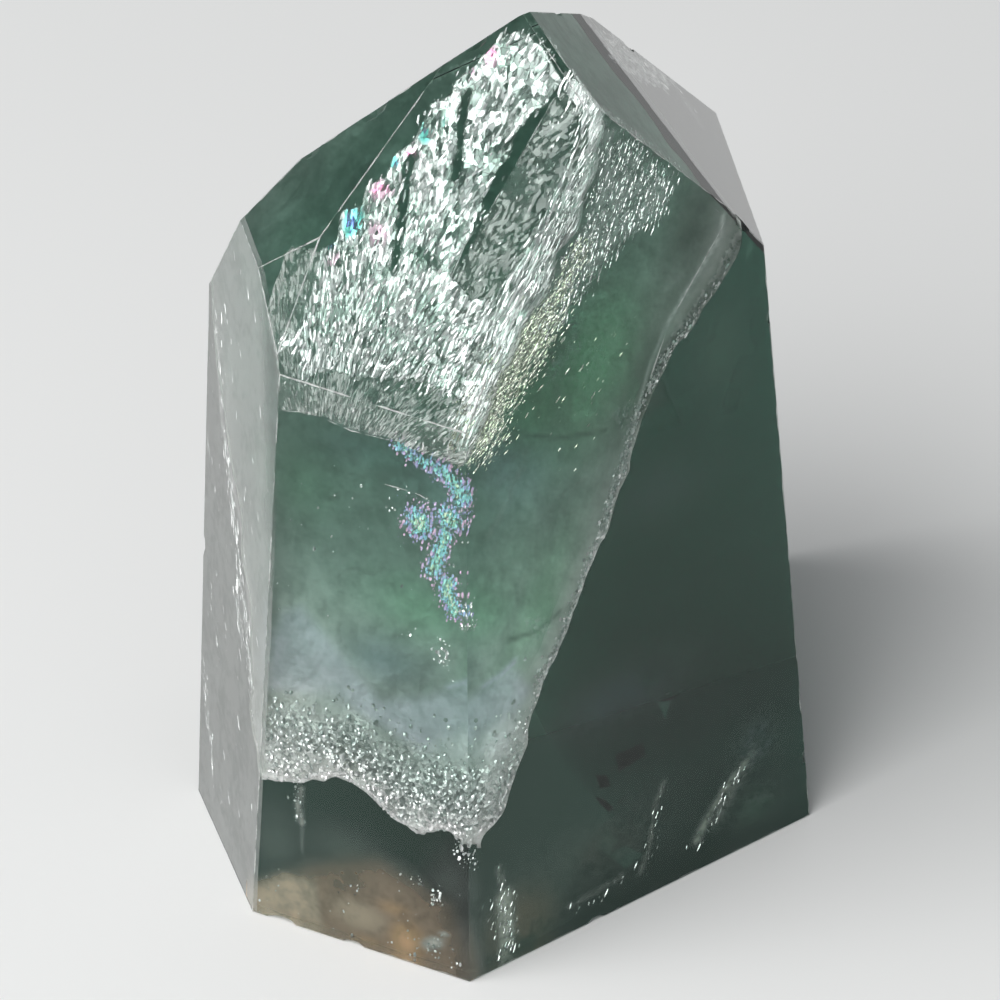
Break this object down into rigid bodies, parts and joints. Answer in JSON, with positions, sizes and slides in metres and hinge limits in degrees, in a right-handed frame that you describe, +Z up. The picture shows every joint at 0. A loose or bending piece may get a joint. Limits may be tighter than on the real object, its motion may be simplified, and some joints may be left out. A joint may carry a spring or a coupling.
{
  "type": "fluorite point",
  "caption": "Polished green fluorite tower on a flat sawn base, with flat side faces and an off-centre faceted tip.",
  "frame": {"origin": "middle of the outline on the sawn base, which rests at z = 0", "axes": "+Z up from the base to the tip; the arris between the two front faces looks along -Y"},
  "size_m": [0.044, 0.0492, 0.0707],
  "materials": {
    "fluorite": "clear green fluorite, polished flats, chipped arrises, with cleavage cracks and veils inside"
  },
  "bodies": {
    "root": {"fluorite_point": "fluorite"}
  },
  "joints": []
}
